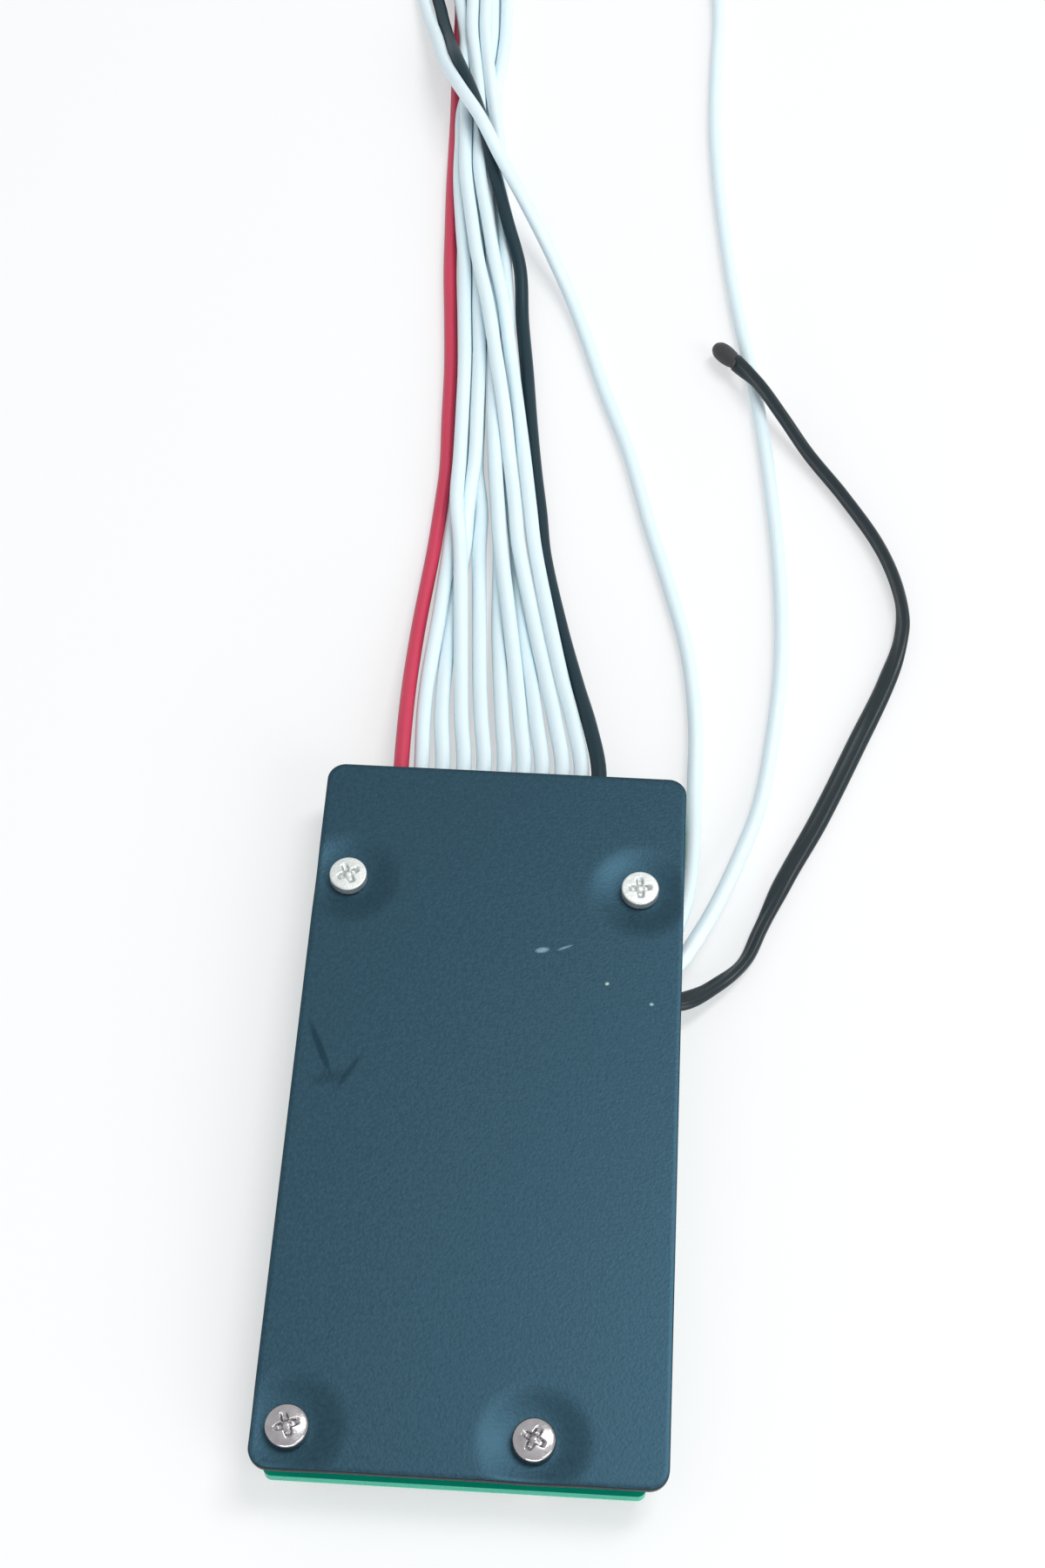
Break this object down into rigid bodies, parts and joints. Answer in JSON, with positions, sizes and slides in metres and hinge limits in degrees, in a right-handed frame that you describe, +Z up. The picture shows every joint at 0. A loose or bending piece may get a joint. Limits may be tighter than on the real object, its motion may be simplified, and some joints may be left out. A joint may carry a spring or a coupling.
{
  "type": "battery management board",
  "caption": "Battery management board under a black aluminium heat plate, with a row of soldered sense leads tied in a hank and a flat temperature sensor lead.",
  "frame": {"origin": "middle of the footprint of board and plate, on the plane that the nuts rest on", "axes": "+Y towards the sense leads, +Z up through the heat plate, +X to the side that the two side leads leave"},
  "size_m": [0.0619, 0.2696, 0.0085],
  "materials": {
    "black_anodised": "black anodised, slightly satin",
    "thermal_rubber": "soft matte",
    "green_board": "glossy solder mask",
    "nickel": "nickel plated, satin",
    "black_epoxy": "moulded, matte",
    "resistor_black": "matte",
    "tan_ceramic": "matte",
    "solder": "bright tin",
    "red_silicone": "soft satin",
    "white_silicone": "soft satin",
    "black_silicone": "soft satin",
    "black_vinyl": "satin",
    "black_nylon": "satin"
  },
  "bodies": {
    "root": {"heat_plate": "black_anodised", "thermal_pad": "thermal_rubber", "circuit_board": "green_board", "plate_screw_1": "nickel", "plate_screw_2": "nickel", "plate_screw_3": "nickel", "plate_screw_4": "nickel", "hex_nut_1": "nickel", "hex_nut_2": "nickel", "hex_nut_3": "nickel", "hex_nut_4": "nickel", "power_fet_1": "black_epoxy", "power_fet_2": "black_epoxy", "power_fet_3": "black_epoxy", "power_fet_4": "black_epoxy", "power_fet_5": "black_epoxy", "power_fet_6": "black_epoxy", "power_fet_7": "black_epoxy", "power_fet_8": "black_epoxy", "monitor_chip": "black_epoxy", "gate_driver": "black_epoxy", "current_shunt_1": "resistor_black", "current_shunt_2": "resistor_black", "current_shunt_3": "resistor_black", "balance_resistors": "resistor_black", "balance_transistors": "black_epoxy", "small_resistors": "resistor_black", "capacitors": "tan_ceramic", "diodes": "black_epoxy", "power_pads": "solder", "solder_bars": "solder", "sense_joints": "solder", "side_joints": "solder", "sense_lead_1": "red_silicone", "sense_lead_2": "white_silicone", "sense_lead_3": "white_silicone", "sense_lead_4": "white_silicone", "sense_lead_5": "white_silicone", "sense_lead_6": "white_silicone", "sense_lead_7": "white_silicone", "sense_lead_8": "white_silicone", "sense_lead_9": "white_silicone", "sense_lead_10": "white_silicone", "sense_lead_11": "black_silicone", "side_lead_1": "white_silicone", "side_lead_2": "white_silicone", "sensor_lead": "black_vinyl", "sensor_bead": "black_epoxy", "lead_hank": "white_silicone", "hank_tie": "black_nylon", "bare_ends": "solder"}
  },
  "joints": []
}
